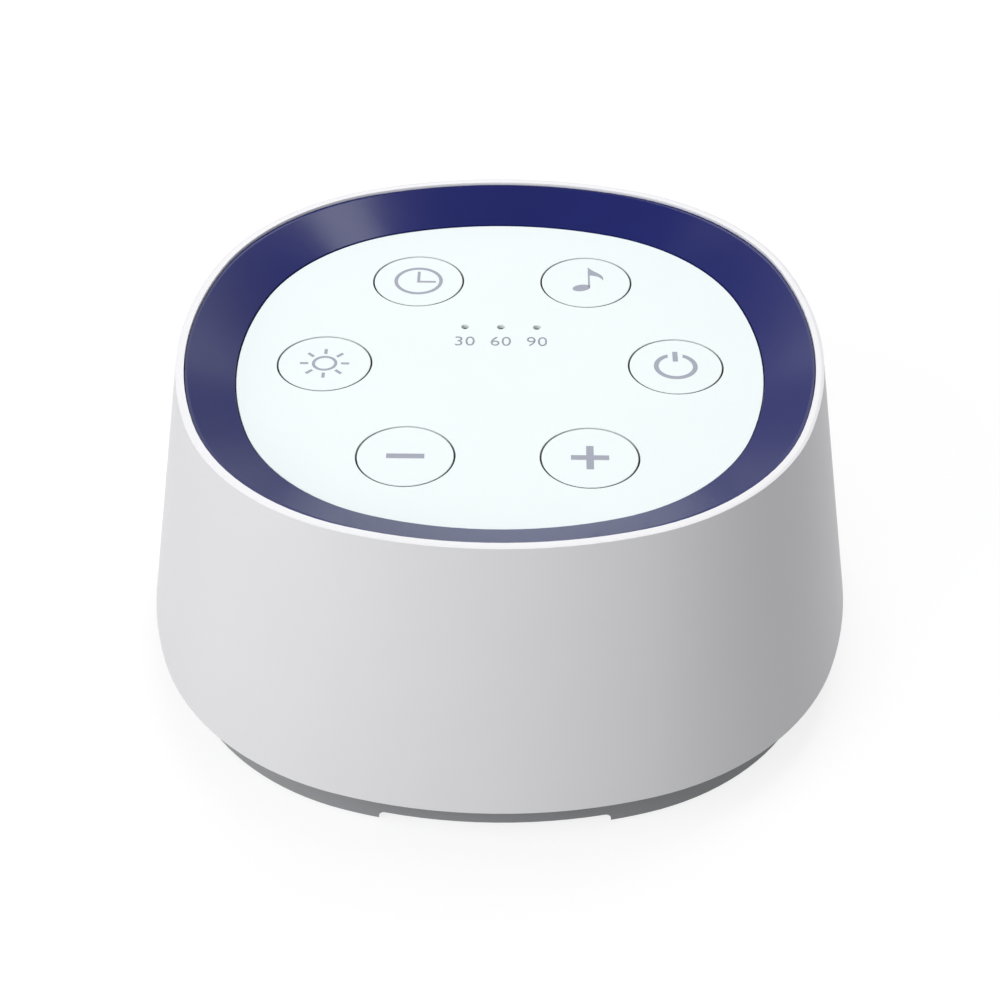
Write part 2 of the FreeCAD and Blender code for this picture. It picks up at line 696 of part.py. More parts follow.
def control_board():
    """The board behind the panel, held by the panel's hooks, and what is soldered to it."""
    board = new_body("control_board")
    sheet = new_sketch(board, "sheet", board_bottom)
    octagon(sheet, board_half, board_edge)
    pad(board, sheet, size.board_thickness)

    timer_leds = new_body("timer_leds")
    row = new_sketch(timer_leds, "row", board_top)
    for across in (-size.dot_pitch, ZERO, size.dot_pitch):
        rectangle(row, across, size.dot_row, size.timer_led_length, size.timer_led_width)
    pad(timer_leds, row, size.timer_led_height)

    lamps = new_body("night_light_leds")
    lamp = new_sketch(lamps, "lamp", board_top, turn=45)
    rectangle(lamp, size.lamp_reach, ZERO, size.lamp_length, size.lamp_width)
    repeated(lamps, [pad(lamps, lamp, size.lamp_height)])

    sound_chip = box("sound_chip", (ZERO, -size.chip_row, board_top),
                     (size.chip_length, size.chip_width, size.chip_height))
    amplifier = box("amplifier_chip", (size.amplifier_reach, -size.chip_row, board_top),
                    (size.amplifier_length, size.amplifier_width, size.chip_height))
    socket = (size.connector_length, size.connector_width, size.connector_height)
    below = board_bottom - size.connector_height
    power = box("power_connector", (ZERO, size.connector_reach, below), socket)
    speaker = box("speaker_connector", (-size.connector_reach, ZERO, below),
                  (size.connector_width, size.connector_length, size.connector_height))
    capacitor = new_body("capacitor")
    can = new_sketch(capacitor, "can", board_bottom)
    facetted(can, size.connector_reach, ZERO, size.capacitor_radius, 16)
    pad(capacitor, can, size.capacitor_height, upward=False)
    return [board, timer_leds, lamps, sound_chip, amplifier, power, speaker, capacitor]


def light_guide():
    """Clear bar under the panel: a peg up into each light hole, a leg down to each light."""
    body = new_body("light_guide")
    bar = new_sketch(body, "bar", deck_top)
    rectangle(bar, ZERO, size.dot_row, (size.dot_pitch + size.guide_end) * 2, size.guide_width)
    pad(body, bar, size.guide_height, upward=False)
    pegs = new_sketch(body, "pegs", deck_top)
    legs = new_sketch(body, "legs", deck_top - size.guide_height)
    for across in (-size.dot_pitch, ZERO, size.dot_pitch):
        facetted(pegs, across, size.dot_row, size.dot_radius - size.peg_gap, 8)
        rectangle(legs, across, size.dot_row, size.timer_led_length, size.timer_led_width)
    pad(body, pegs, size.panel_thickness - size.dot_recess)
    leg_end = board_top + size.timer_led_height + size.guide_gap
    pad(body, legs, deck_top - size.guide_height - leg_end, upward=False)
    return [body]


def base():
    """The grey base: plate, skirt with arches, sound chamber, grille, clips and inlet posts."""
    body = new_body("base")
    plate = new_sketch(body, "plate", plate_bottom)
    spread = size.body_half - size.rim_half
    outline(plate, size.rim_half, size.housing_wall + size.plate_gap - spread)
    pad(body, plate, size.plate_thickness)
    skirt = new_sketch(body, "skirt", plate_bottom)
    outline(skirt, base_half)
    pad(body, skirt, plate_bottom - foot_level, upward=False)
    chamber = new_sketch(body, "chamber", plate_bottom)
    octagon(chamber, base_half - size.skirt_wall, size.chamber_corner)
    pocket(body, chamber, plate_bottom - foot_level)
    slots = new_sketch(body, "slots", plate_top)
    rows = int(size.grille_radius.number // size.slot_pitch.number)
    for row in range(-rows, rows + 1):
        along = size.slot_pitch * row
        chord = root(size.grille_radius * size.grille_radius - along * along) * 2
        rectangle(slots, ZERO, along, chord, size.slot_width)
    pocket(body, slots, size.plate_thickness)
    seat = new_sketch(body, "seat", plate_top)
    for half in (size.speaker_half, size.speaker_half - size.seat_width):
        octagon(seat, half, half)
    pad(body, seat, size.seat_height)

    arch = new_sketch(body, "arch", role="XZ_Plane")
    rounded_rectangle(arch, ZERO, foot_level, size.arch_half * 2, size.foot_height * 2,
                      size.arch_corner)
    cuts = [pocket(body, arch, base_half + size.skirt_wall)]
    for name, radius, count, depth in (
            ("foot", size.pad_radius + size.pad_gap, 16, size.pad_thickness - size.pad_proud),
            ("head", size.screw_head_radius + size.screw_gap, 12, screw_seat_level - foot_level),
            ("shank", size.screw_radius + size.screw_gap, 8, plate_top - foot_level)):
        hole = new_sketch(body, name, foot_level, turn=45)
        facetted(hole, size.post_reach, ZERO, radius, count)
        cuts.append(pocket(body, hole, depth, upward=True))
    inner = size.speaker_half + size.clip_gap
    outer = inner + size.clip_wall
    nose = flange_top + size.clip_nose
    clip = new_sketch(body, "clip", role="XZ_Plane", turn=45)
    polygon(clip, ((inner, plate_top), (outer, plate_top), (outer, nose),
                   (outer - size.clip_wall / 2, nose), (inner - size.clip_barb, flange_top),
                   (inner, flange_top)))
    cuts.append(centred(pad(body, clip, size.clip_width)))
    repeated(body, cuts)

    posts = new_sketch(body, "posts", plate_top)
    pins = new_sketch(body, "pins", inlet_board_bottom)
    post_place = (size.inlet_board_length - size.inlet_post) / 2 - size.inlet_pin / 2
    for across in (-post_place, post_place):
        rectangle(posts, across, inlet_post_row, size.inlet_post, size.inlet_post)
        rectangle(pins, across, inlet_post_row, size.inlet_pin, size.inlet_pin)
    pad(body, posts, inlet_board_bottom - plate_top)
    pad(body, pins, size.board_thickness * 1.5)
    return [body]


def feet_and_screws():
    """Four rubber feet in the corners of the base, over the four screws that hold the housing."""
    feet = new_body("rubber_feet")
    foot = new_sketch(feet, "foot", turn=45)
    facetted(foot, size.post_reach, ZERO, size.pad_radius, 16)
    repeated(feet, [pad(feet, foot, size.pad_thickness)])
    screws = new_body("base_screws")
    head = new_sketch(screws, "head", screw_seat_level, turn=45)
    facetted(head, size.post_reach, ZERO, size.screw_head_radius, 12)
    shank = new_sketch(screws, "shank", screw_seat_level, turn=45)
    facetted(shank, size.post_reach, ZERO, size.screw_radius, 8)
    repeated(screws, [pad(screws, head, size.screw_head_height, upward=False),
                      pad(screws, shank, size.screw_length)])
    return [feet, screws]


def speaker_frame():
    """The basket on its soft surround, with its plate, ring magnet and yoke, facing down."""
    surround = new_body("speaker_surround")
    skin = new_sketch(surround, "skin", surround_level)
    octagon(skin, size.speaker_half, size.speaker_half)
    facetted(skin, ZERO, ZERO, lap_inside, ROUND)
    pad(surround, skin, size.membrane)

    basket = new_body("speaker_basket")
    sheet = size.flange_thickness
    flange = new_sketch(basket, "flange", flange_level)
    octagon(flange, size.speaker_half, size.speaker_half)
    facetted(flange, ZERO, ZERO, mouth, ROUND)
    pad(basket, flange, sheet)
    leg = new_sketch(basket, "leg", role="XZ_Plane", turn=45)
    polygon(leg, ((mouth, flange_top), (mouth + sheet, flange_top),
                  (size.basket_back, basket_top - sheet),
                  (size.basket_back - sheet, basket_top - sheet)))
    repeated(basket, [centred(pad(basket, leg, size.leg_width))])
    back = new_sketch(basket, "back", basket_top - sheet)
    octagon(back, size.basket_back, size.basket_back)
    facetted(back, ZERO, ZERO, gap_outside, ROUND)
    pad(basket, back, sheet)

    plate = new_body("speaker_top_plate")
    round_pad(plate, "ring", (gap_outside, steel_radius), basket_top, magnet_bottom)
    magnet = new_body("speaker_magnet")
    round_pad(magnet, "ring", (gap_outside + size.magnet_clear, size.magnet_radius), magnet_bottom,
              magnet_top)
    yoke = new_body("speaker_yoke")
    round_pad(yoke, "plate", (steel_radius,), magnet_top, magnet_top + size.yoke_plate)
    round_pad(yoke, "pole", (pole_radius,), basket_top - sheet, magnet_top)
    terminal_place = size.speaker_half - sheet - size.terminal_width / 2
    terminal = box("speaker_terminal", (-terminal_place, ZERO, flange_top),
                   (size.terminal_width, size.terminal_length, size.terminal_height))
    return [surround, basket, plate, magnet, yoke, terminal]


def speaker_cone():
    """What the loudspeaker moves: paper cone, dust cap and voice coil."""
    neck = size.coil_radius + size.glue_gap
    cone = DOC.addObject("Part::Cut", "speaker_cone")
    cone.Label = "speaker_cone"
    cone.Base = facetted_cone("cone_outside", size.cone_radius, neck + size.cone_lap, flange_level,
                              neck_level)
    cone.Tool = facetted_cone("cone_inside", lap_inside, neck, flange_level, neck_level)
    coil = new_body("speaker_voice_coil")
    coil_foot = neck_level - size.coil_sunk
    round_pad(coil, "winding", (coil_inside, size.coil_radius), coil_foot,
              coil_foot + size.coil_height)
    cap = new_body("speaker_dust_cap")
    round_pad(cap, "disc", (size.coil_radius,), coil_foot - size.cap_thickness, coil_foot)
    return [cone, coil, cap]


def power_inlet():
    """The small board behind the back wall, with its socket and the tongue inside it."""
    board = new_body("inlet_board")
    sheet = new_sketch(board, "sheet", inlet_board_bottom)
    rectangle(sheet, ZERO, inlet_board_middle, size.inlet_board_length, size.inlet_board_width)
    hole = size.inlet_pin + size.inlet_pin_gap * 2
    post_place = (size.inlet_board_length - size.inlet_post) / 2 - size.inlet_pin / 2
    for across in (-post_place, post_place):
        rectangle(sheet, across, inlet_post_row, hole, hole)
    pad(board, sheet, size.board_thickness)

    socket = new_body("power_socket")
    shell = new_sketch(socket, "shell", -inlet_floor, "XZ_Plane")
    slot(shell, ZERO, inlet_level, size.socket_length, size.socket_width)
    inside = new_sketch(socket, "inside", -inlet_floor, "XZ_Plane")
    slot(inside, ZERO, inlet_level, size.socket_length - size.socket_shell * 2,
         size.socket_width - size.socket_shell * 2)
    tongue = new_sketch(socket, "tongue", size.tongue_setback - inlet_floor, "XZ_Plane")
    rectangle(tongue, ZERO, inlet_level, size.tongue_length, size.tongue_width)
    pad(socket, shell, size.socket_depth)
    pocket(socket, inside, size.socket_depth - size.socket_gap * 2 - size.socket_shell, upward=True)
    pad(socket, tongue, size.socket_depth - size.tongue_setback)
    return [board, socket]


def lead(label, route, across):
    """A flat lead along straight runs that are joined by tangent arcs, in one upright plane."""
    edges = []
    start = route[0]
    for before, corner, after in zip(route, route[1:], route[2:]):
        arriving, leaving = corner - before, after - corner
        half_turn = arriving.getAngle(leaving) / 2
        shorter = min(arriving.Length, leaving.Length)
        trim = 0.45 * shorter
        print(f"{label}: bend radius {trim / math.tan(half_turn):.1f} mm")
        arriving.normalize()
        leaving.normalize()
        entry, leave = corner - arriving * trim, corner + leaving * trim
        inward = leaving - arriving
        inward.normalize()
        centre_away = trim / math.tan(half_turn)
        middle = corner + inward * (centre_away / math.cos(half_turn) - centre_away)
        edges += [Part.LineSegment(start, entry).toShape(), Part.Arc(entry, middle, leave).toShape()]
        start = leave
    edges.append(Part.LineSegment(start, route[-1]).toShape())
    path = Part.Wire(edges)
    half_wide = across * (size.lead_width.number / 2)
    half_thick = across.cross(UP) * (size.lead_thickness.number / 2)
    corners = [route[0] + half_wide * i + half_thick * j
               for i, j in ((-1, -1), (1, -1), (1, 1), (-1, 1), (-1, -1))]
    solid = path.makePipeShell([Part.makePolygon(corners)], True, False)
    expected = path.Length * size.lead_width.number * size.lead_thickness.number
    print(f"{label}: {path.Length:.1f} mm long, volume {solid.Volume:.1f} of {expected:.1f} mm3")
    piece = DOC.addObject("Part::Feature", label)
    piece.Label = label
    piece.Shape = solid
    return piece


def leads():
    """The loudspeaker's and the inlet's flat leads up to the control board."""
    socket_bottom = (board_bottom - size.connector_height).number
    start = V(-(size.speaker_half - size.flange_thickness - size.terminal_width / 2).number, 0,
              (flange_top + size.terminal_height).number)
    end = V(-size.connector_reach.number, 0, socket_bottom)
    exit_run = V(0, 0, size.lead_exit.number)
    bulge = (start + end) / 2 - V(size.lead_slack.number, 0, 0)
    speaker = lead("speaker_lead", [start, start + exit_run, bulge, end - exit_run, end], V(0, 1, 0))
    start = V(0, (inlet_post_row - size.inlet_pin).number, inlet_board_top.number)
    end = V(0, size.connector_reach.number, socket_bottom)
    exit_run = V(0, 0, size.power_exit.number)
    power = lead("power_lead", [start, start + exit_run, end - exit_run, end], V(1, 0, 0))
    return [speaker, power]


def write_parts(pieces):
    """Checks every object of the document and writes each piece to its own file."""
    DOC.recompute()
    for item in DOC.Objects:
        if "Invalid" in item.State or "Error" in item.State:
            raise RuntimeError(f"{item.Label} failed: {item.State}")
        if hasattr(item, "Shape") and not item.Shape.isNull() and not item.Shape.isValid():
            raise RuntimeError(f"{item.Label} has an unsound shape")
    for piece in pieces:
        if piece.Shape.isNull() or not piece.Shape.isValid() or piece.Shape.Volume <= 0:
            raise RuntimeError(f"{piece.Label} has no sound shape")
    os.makedirs("parts", exist_ok=True)
    for piece in pieces:
        piece.Shape.exportStep(os.path.join("parts", f"{piece.Label}.step"))
        print(f"{piece.Label}: {len(piece.Shape.Solids)} solid(s), {piece.Shape.Volume:.1f} mm3")


PIECES = []
for make in (housing, trim_ring, control_panel, button_caps, switches, control_board, light_guide,
             base, feet_and_screws, speaker_frame, speaker_cone, power_inlet, leads):
    PIECES += make()
write_parts(PIECES)
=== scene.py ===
"""Looks of a white noise sound machine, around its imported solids.

The sizes and colours that a user may change stand in the property groups. Each operator dresses
one piece or one group of like pieces, and the last two set the stage and the camera.
"""
import math

import bpy
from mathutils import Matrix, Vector


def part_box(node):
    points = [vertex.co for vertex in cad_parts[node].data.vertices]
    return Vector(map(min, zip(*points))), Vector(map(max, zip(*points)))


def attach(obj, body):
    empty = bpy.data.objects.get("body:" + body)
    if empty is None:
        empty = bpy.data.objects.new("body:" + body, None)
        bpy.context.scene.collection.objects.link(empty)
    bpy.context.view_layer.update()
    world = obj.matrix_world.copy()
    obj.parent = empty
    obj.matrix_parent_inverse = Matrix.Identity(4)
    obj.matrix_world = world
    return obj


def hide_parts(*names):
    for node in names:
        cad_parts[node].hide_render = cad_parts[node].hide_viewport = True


bl_info = {
    "name": "Sound Machine",
    "version": (1, 0, 0),
    "blender": (4, 5, 0),
    "location": "3D View > Sidebar > Sound Machine",
    "description": "Dresses the solids of a white noise sound machine",
    "category": "Object",
}

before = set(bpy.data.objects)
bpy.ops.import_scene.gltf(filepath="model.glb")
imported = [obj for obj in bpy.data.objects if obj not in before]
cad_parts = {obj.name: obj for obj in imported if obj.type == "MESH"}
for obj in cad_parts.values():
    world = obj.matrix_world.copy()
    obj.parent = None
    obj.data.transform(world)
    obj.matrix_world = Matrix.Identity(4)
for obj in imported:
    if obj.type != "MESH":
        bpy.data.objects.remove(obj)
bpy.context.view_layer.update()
PANEL_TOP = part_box("control_panel")[1].z
RIM_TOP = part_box("housing")[1].z
MM = 0.001

# Vertices nearer than this are merged, in copies of the solids and in the print
SAME_PLACE = 0.002 * MM
SAME_PLACE_IN_PRINT = 0.001 * MM

# Bends inside one flat face and between triangles that pair up, whatever the pair's shape, and the
# bends from which an edge stays sharp, on most pieces and on the ring
IN_PLANE = math.radians(0.2)
NEARLY_FLAT = math.radians(3)
ANY_SHAPE = math.radians(180)
CREASE = math.radians(32)
RING_CREASE = math.radians(12)

# Depth of the rim's chamfer from the top of the solid, how near to it a vertex lies, and the share
# of its width that the wall loses there per metre of height
RIM_CHAMFER = 0.5 * MM
RIM_SLACK = 0.1 * MM
WALL_LEAN = 3.0

# Turn in radians of the crosses in the screws' heads
CROSS_TURN = 0.3

# Digits: height as a share of the letter size, spacing as a share of the usual one, and what each
# side of a stroke is thinned by
DIGIT_SHARE = 0.73
DIGIT_SPACING = 1.06
STROKE_TRIM = 0.02 * MM

# The floor's size in metres, its lit colour, and its background on top of that, where 1 is white
FLOOR_SIZE = 12.0
FLOOR_COLOUR = (0.25, 0.25, 0.255, 1)
FLOOR_SHINE = 0.8

# Lamps: name, setting of the power, size in metres, degrees to the right of the front, degrees
# above the floor, and distance in metres
LAMPS = (("key_lamp", "key_power", 0.6, -52, 30, 0.85),
         ("front_lamp", "front_power", 0.7, 0, 45, 0.9),
         ("back_lamp", "back_power", 0.6, 180, 48, 0.85),
         ("sheen_lamp", "sheen_power", 0.14, 143, 68, 0.8))


# ---------------------------------------------------------------- settings


class FinishSettings(bpy.types.PropertyGroup):
    """Colours and surfaces of the plastics and the print."""

    shell_colour: bpy.props.FloatVectorProperty(
        name="Shell", description="Satin white plastic of the housing",
        subtype="COLOR", size=3, min=0, max=1, default=(0.86, 0.858, 0.877))
    ring_colour: bpy.props.FloatVectorProperty(
        name="Ring", description="Navy plastic of the sloping ring",
        subtype="COLOR", size=3, min=0, max=1, default=(0.007, 0.012, 0.125))
    panel_colour: bpy.props.FloatVectorProperty(
        name="Panel", description="Cool white plastic of the panel and the buttons",
        subtype="COLOR", size=3, min=0, max=1, default=(0.86, 0.925, 0.925))
    # Painted shade: a near-black colour on the sides of the buttons that darkens the narrow gaps
    # around them
    flank_colour: bpy.props.FloatVectorProperty(
        name="Button gap shade", description="Painted shade of the gaps, on the sides of the buttons",
        subtype="COLOR", size=3, min=0, max=1, default=(0.12, 0.12, 0.13))
    # Depth below a button's top from which its sides take the painted shade of the gaps
    coat: bpy.props.FloatProperty(
        name="Gap shade depth", description="Depth below a button's top where the painted gap shade starts",
        subtype="DISTANCE", default=0.0003)
    base_colour: bpy.props.FloatVectorProperty(
        name="Base", description="Grey plastic of the base",
        subtype="COLOR", size=3, min=0, max=1, default=(0.34, 0.345, 0.36))
    print_colour: bpy.props.FloatVectorProperty(
        name="Print", description="Grey ink of the signs and the numbers",
        subtype="COLOR", size=3, min=0, max=1, default=(0.315, 0.332, 0.405))
    cross_length: bpy.props.FloatProperty(
        name="Cross", description="Length of the cross in the screws' heads",
        subtype="DISTANCE", default=0.0032)
    cross_width: bpy.props.FloatProperty(
        name="Cross width", description="Width of the cross in the screws' heads",
        subtype="DISTANCE", default=0.0007)
    rim_fill: bpy.props.FloatProperty(
        name="Rim fill", description="Raises the outer edge of the rim, which sharpens it",
        subtype="DISTANCE", min=0, max=0.0004, default=0.0004)
    grain: bpy.props.FloatProperty(
        name="Grain", description="Size of the fine grain moulded into the plastics",
        subtype="DISTANCE", min=0.00005, default=0.00035)


class PrintSettings(bpy.types.PropertyGroup):
    """Sizes of the printed signs and numbers."""

    thickness: bpy.props.FloatProperty(
        name="Ink", description="Thickness of the print above the plastic",
        subtype="DISTANCE", default=0.00003)
    digit_height: bpy.props.FloatProperty(
        name="Digits", description="Height of the printed numbers",
        subtype="DISTANCE", default=0.0025)
    digit_row: bpy.props.FloatProperty(
        name="Digit row", description="Foot of the numbers from the middle of the panel",
        subtype="DISTANCE", default=0.00536)
    digit_pitch: bpy.props.FloatProperty(
        name="Digit pitch", description="Spacing of the numbers, and of the timer lights",
        subtype="DISTANCE", default=0.00585)


class StageSettings(bpy.types.PropertyGroup):
    """Camera and light."""

    distance: bpy.props.FloatProperty(
        name="Distance", description="Camera to the point it looks at",
        subtype="DISTANCE", default=0.3983)
    azimuth: bpy.props.FloatProperty(
        name="Azimuth", description="Camera to the right of straight ahead",
        subtype="ANGLE", default=math.radians(0.874))
    elevation: bpy.props.FloatProperty(
        name="Elevation", description="Camera above the floor, seen from the point it looks at",
        subtype="ANGLE", default=math.radians(38.236))
    aim_below_panel: bpy.props.FloatProperty(
        name="Aim", description="Point the camera looks at, below the face of the panel",
        subtype="DISTANCE", default=0.02744)
    lens: bpy.props.FloatProperty(
        name="Lens", description="Focal length in millimetres on a 36 mm sensor",
        default=86.09)
    key_power: bpy.props.FloatProperty(
        name="Key lamp", description="Large soft lamp at the left", subtype="POWER", default=3.7)
    front_power: bpy.props.FloatProperty(
        name="Front lamp", description="Weak soft lamp over the camera", subtype="POWER",
        default=1.6)
    back_power: bpy.props.FloatProperty(
        name="Back lamp", description="Soft lamp high up behind", subtype="POWER",
        default=2.4)
    sheen_power: bpy.props.FloatProperty(
        name="Sheen lamp", description="Small lamp whose reflection lies on the ring",
        subtype="POWER", default=0.74)
    room: bpy.props.FloatProperty(
        name="Room", description="Even light from all sides", min=0, default=0.31)


# ---------------------------------------------------------------- materials


def new_material(name):
    """An empty material with its shader, and its nodes and links."""
    material = bpy.data.materials.new(name)
    material.use_nodes = True
    nodes = material.node_tree.nodes
    return material, nodes, material.node_tree.links, nodes["Principled BSDF"]


def object_coordinates(nodes):
    """Coordinates in metres on the object itself."""
    return nodes.new("ShaderNodeTexCoord").outputs["Object"]


def noise(nodes, links, place, size, detail=3.0):
    """Noise with features of about the given size."""
    texture = nodes.new("ShaderNodeTexNoise")
    texture.inputs["Scale"].default_value = 1 / size
    texture.inputs["Detail"].default_value = detail
    links.new(place, texture.inputs["Vector"])
    return texture.outputs["Fac"]


def spread(nodes, links, value, low, high):
    """Noise, which lies mostly between 0.3 and 0.7, stretched to a range of values."""
    ramp = nodes.new("ShaderNodeMapRange")
    ramp.inputs["From Min"].default_value = 0.3
    ramp.inputs["From Max"].default_value = 0.7
    ramp.inputs["To Min"].default_value = low
    ramp.inputs["To Max"].default_value = high
    links.new(value, ramp.inputs["Value"])
    return ramp.outputs["Result"]


def tinted(nodes, links, value, first, second):
    """A colour between two near tones."""
    mix = nodes.new("ShaderNodeMix")
    mix.data_type = "RGBA"
    mix.inputs["A"].default_value = (*first, 1)
    mix.inputs["B"].default_value = (*second, 1)
    links.new(value, mix.inputs["Factor"])
    return mix.outputs["Result"]


def grained(nodes, links, shader, heights):
    """Bump from one or more noises, each with its depth in metres."""
    normal = None
    for value, depth in heights:
        bump = nodes.new("ShaderNodeBump")
        bump.inputs["Strength"].default_value = 1.0
        bump.inputs["Distance"].default_value = depth
        links.new(value, bump.inputs["Height"])
        if normal is not None:
            links.new(normal, bump.inputs["Normal"])
        normal = bump.outputs["Normal"]
    links.new(normal, shader.inputs["Normal"])


def moulded_plastic(name, colour, roughness, grain, depth, tone=0.04, specular=0.5):
    """Moulded plastic: fine grain, faint flow marks and a slightly uneven gloss."""
    material, nodes, links, shader = new_material(name)
    shader.inputs["Specular IOR Level"].default_value = specular
    place = object_coordinates(nodes)
    fine = noise(nodes, links, place, size=grain, detail=2.0)
    flow = noise(nodes, links, place, size=18 * MM, detail=2.0)
    darker = tuple(channel * (1 - tone) for channel in colour)
    links.new(tinted(nodes, links, spread(nodes, links, flow, 0, 1), darker, colour),
              shader.inputs["Base Color"])
    links.new(spread(nodes, links, fine, roughness * 0.9, roughness * 1.12),
              shader.inputs["Roughness"])
    grained(nodes, links, shader, ((fine, depth),))
    return material


def metal(name, colour, roughness, streak=0.4 * MM):
    """Plated or bare metal with faint streaks."""
    material, nodes, links, shader = new_material(name)
    shader.inputs["Metallic"].default_value = 1.0
    place = object_coordinates(nodes)
    mapping = nodes.new("ShaderNodeMapping")
    mapping.inputs["Scale"].default_value = (1.0, 1.0, 0.15)
    links.new(place, mapping.inputs["Vector"])
    marks = noise(nodes, links, mapping.outputs["Vector"], size=streak)
    dull = tuple(channel * 0.85 for channel in colour)
    links.new(tinted(nodes, links, spread(nodes, links, marks, 0, 1), dull, colour),
              shader.inputs["Base Color"])
    links.new(spread(nodes, links, marks, roughness * 0.8, roughness * 1.25),
              shader.inputs["Roughness"])
    grained(nodes, links, shader, ((marks, 0.004 * MM),))
    return material


def soft_rubber(name, colour):
    """Dull rubber with a faint bloom."""
    material, nodes, links, shader = new_material(name)
    place = object_coordinates(nodes)
    fine = noise(nodes, links, place, size=0.2 * MM, detail=2.0)
    bloom = noise(nodes, links, place, size=4 * MM)
    paler = tuple(channel * 1.5 + 0.01 for channel in colour)
    links.new(tinted(nodes, links, spread(nodes, links, bloom, 0, 1), colour, paler),
              shader.inputs["Base Color"])
    links.new(spread(nodes, links, fine, 0.65, 0.85), shader.inputs["Roughness"])
    grained(nodes, links, shader, ((fine, 0.01 * MM),))
    return material


def pressed_paper(name, colour):
    """Fibrous black paper with fine rings pressed into it."""
    material, nodes, links, shader = new_material(name)
    place = object_coordinates(nodes)
    fibres = noise(nodes, links, place, size=0.9 * MM, detail=5.0)
    rings = nodes.new("ShaderNodeTexWave")
    rings.wave_type = "RINGS"
    rings.rings_direction = "Z"
    rings.inputs["Scale"].default_value = 160.0
    rings.inputs["Distortion"].default_value = 0.4
    links.new(place, rings.inputs["Vector"])
    paler = tuple(channel * 1.8 + 0.01 for channel in colour)
    links.new(tinted(nodes, links, spread(nodes, links, fibres, 0, 1), colour, paler),
              shader.inputs["Base Color"])
    shader.inputs["Roughness"].default_value = 0.85
    grained(nodes, links, shader, ((fibres, 0.03 * MM), (rings.outputs["Fac"], 0.04 * MM)))
    return material


def circuit_board(name):
    """Green lacquered board with copper tracks showing through the lacquer."""
    material, nodes, links, shader = new_material(name)
    place = object_coordinates(nodes)
    tracks = nodes.new("ShaderNodeTexBrick")
    tracks.inputs["Scale"].default_value = 120.0
    tracks.inputs["Mortar Size"].default_value = 0.07
    tracks.inputs["Color1"].default_value = (0.010, 0.085, 0.035, 1)
    tracks.inputs["Color2"].default_value = (0.012, 0.10, 0.042, 1)
    tracks.inputs["Mortar"].default_value = (0.03, 0.19, 0.085, 1)
    links.new(place, tracks.inputs["Vector"])
    links.new(tracks.outputs["Color"], shader.inputs["Base Color"])
    weave = noise(nodes, links, place, size=0.6 * MM, detail=2.0)
    links.new(spread(nodes, links, weave, 0.28, 0.42), shader.inputs["Roughness"])
    grained(nodes, links, shader, ((tracks.outputs["Fac"], 0.02 * MM), (weave, 0.006 * MM)))
    return material


def clear_plastic(name, colour):
    """Clear or milky plastic of lights and of the light guide."""
    material, nodes, links, shader = new_material(name)
    place = object_coordinates(nodes)
    cloud = noise(nodes, links, place, size=1.2 * MM, detail=2.0)
    dim = tuple(channel * 0.85 for channel in colour)
    links.new(tinted(nodes, links, spread(nodes, links, cloud, 0, 1), dim, colour),
              shader.inputs["Base Color"])
    links.new(spread(nodes, links, cloud, 0.18, 0.3), shader.inputs["Roughness"])
    shader.inputs["Transmission Weight"].default_value = 0.55
    shader.inputs["IOR"].default_value = 1.49
    return material


def printed_ink(name, colour):
    """Thin matt ink with slightly uneven cover."""
    material, nodes, links, shader = new_material(name)
    place = object_coordinates(nodes)
    cover = noise(nodes, links, place, size=0.25 * MM)
    paler = tuple(channel * 1.06 + 0.01 for channel in colour)
    links.new(tinted(nodes, links, spread(nodes, links, cover, 0, 1), colour, paler),
              shader.inputs["Base Color"])
    links.new(spread(nodes, links, cover, 0.45, 0.6), shader.inputs["Roughness"])
    grained(nodes, links, shader, ((cover, 0.003 * MM),))
    return material


def background_rays(nodes, links):
    """1 for the rays that see the white background: camera, gloss and clear plastic."""
    path = nodes.new("ShaderNodeLightPath")
    first = nodes.new("ShaderNodeMath")
    first.operation = "MAXIMUM"
    links.new(path.outputs["Is Camera Ray"], first.inputs[0])
    links.new(path.outputs["Is Glossy Ray"], first.inputs[1])
    second = nodes.new("ShaderNodeMath")
    second.operation = "MAXIMUM"
    links.new(first.outputs[0], second.inputs[0])
    links.new(path.outputs["Is Transmission Ray"], second.inputs[1])
    return second.outputs[0]


# ---------------------------------------------------------------- mesh helpers


def select_only(piece):
    """Makes a piece the one selected and active object."""
    if bpy.context.object and bpy.context.object.mode != "OBJECT":
        bpy.ops.object.mode_set(mode="OBJECT")
    bpy.ops.object.select_all(action="DESELECT")
    piece.select_set(True)
    bpy.context.view_layer.objects.active = piece


def pick_vertices(piece, test):
    """Opens a piece in edit mode with only the vertices selected whose place passes a test."""
    select_only(piece)
    bpy.ops.object.mode_set(mode="EDIT")
    bpy.ops.mesh.select_mode(type="VERT")
    bpy.ops.mesh.select_all(action="DESELECT")
    bpy.ops.object.mode_set(mode="OBJECT")
    for vertex in piece.data.vertices:
        vertex.select = test(vertex.co)
    bpy.ops.object.mode_set(mode="EDIT")


def give(piece, material):
    """One material all over a piece, in one slot."""
    piece.data.materials.clear()
    piece.data.materials.append(material)


def painted(node, material):
    """A better material on a solid that stays as it is."""
    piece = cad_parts[node]
    if not piece.material_slots:
        piece.data.materials.append(material)
    for slot in piece.material_slots:
        slot.material = material


